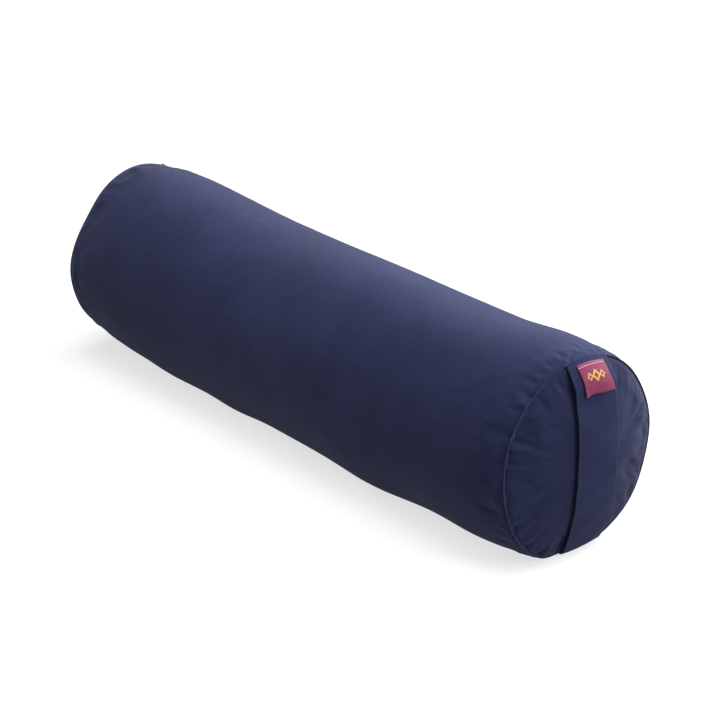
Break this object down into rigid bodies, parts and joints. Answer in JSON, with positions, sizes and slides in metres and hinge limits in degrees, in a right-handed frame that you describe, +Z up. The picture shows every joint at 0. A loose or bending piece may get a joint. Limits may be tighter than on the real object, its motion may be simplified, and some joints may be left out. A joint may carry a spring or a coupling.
{
  "type": "bolster pillow",
  "caption": "Round stuffed bolster with a plain zipped cover, domed end panels, and a flat carry-handle strap with a small label at its top on one end.",
  "frame": {"origin": "middle of the patch of floor that the body rests on, halfway between the two end seams", "axes": "+Z up, +X along the body to the handle end, +Y to the side with the zip"},
  "size_m": [0.7211, 0.2021, 0.2],
  "materials": {
    "navy_cotton": "matt plain-woven navy cotton",
    "navy_webbing": "the cover's cloth, folded double",
    "navy_thread": "polyester sewing thread",
    "label_weave": "maroon woven label",
    "pink_thread": "pale pink stitching",
    "zip_tape": "woven zip tape",
    "zip_teeth": "moulded plastic teeth",
    "zip_metal": "plated metal, slightly dulled",
    "liner_calico": "unbleached calico",
    "fibre_wadding": "white fibre wadding",
    "core_foam": "firm foam, cream"
  },
  "bodies": {
    "bolster": {"cover_tube": "navy_cotton", "cover_end_front": "navy_cotton", "cover_end_rear": "navy_cotton", "front_seam_thread": "navy_thread", "rear_seam_thread": "navy_thread", "handle_anchor_top": "navy_webbing", "handle_anchor_bottom": "navy_webbing", "woven_label": "label_weave", "label_thread": "pink_thread", "zip_tape_upper": "zip_tape", "zip_tape_lower": "zip_tape", "zip_teeth_upper": "zip_teeth", "zip_teeth_lower": "zip_teeth", "zip_top_stop_upper": "zip_metal", "zip_top_stop_lower": "zip_metal", "zip_bottom_stop": "zip_metal", "zip_topstitch": "navy_thread", "liner_tube": "liner_calico", "liner_end_front": "liner_calico", "liner_end_rear": "liner_calico", "wadding_wrap": "fibre_wadding", "wadding_pad_front": "fibre_wadding", "wadding_pad_rear": "fibre_wadding", "foam_core": "core_foam"},
    "slider": {"zip_slider": "zip_metal"},
    "pull_tab": {"zip_pull": "zip_metal"},
    "handle": {"handle_grip": "navy_webbing"}
  },
  "joints": [
    {"name": "zip_slide", "type": "slide", "parent": "bolster", "child": "slider", "axis": [-1, 0, 0], "range_m": [0, 0.4325], "deforming": ["zip_teeth_upper", "zip_teeth_lower"]},
    {"name": "zip_pull_hinge", "type": "hinge", "parent": "slider", "child": "pull_tab", "pos_m": [0.2162, 0.10055, 0.10622], "axis": [0, 0.0992, -0.9951], "range_deg": [0, 175]},
    {"name": "handle_lift", "type": "slide", "parent": "bolster", "child": "handle", "axis": [1, 0, 0], "range_m": [0, 0.02]}
  ]
}
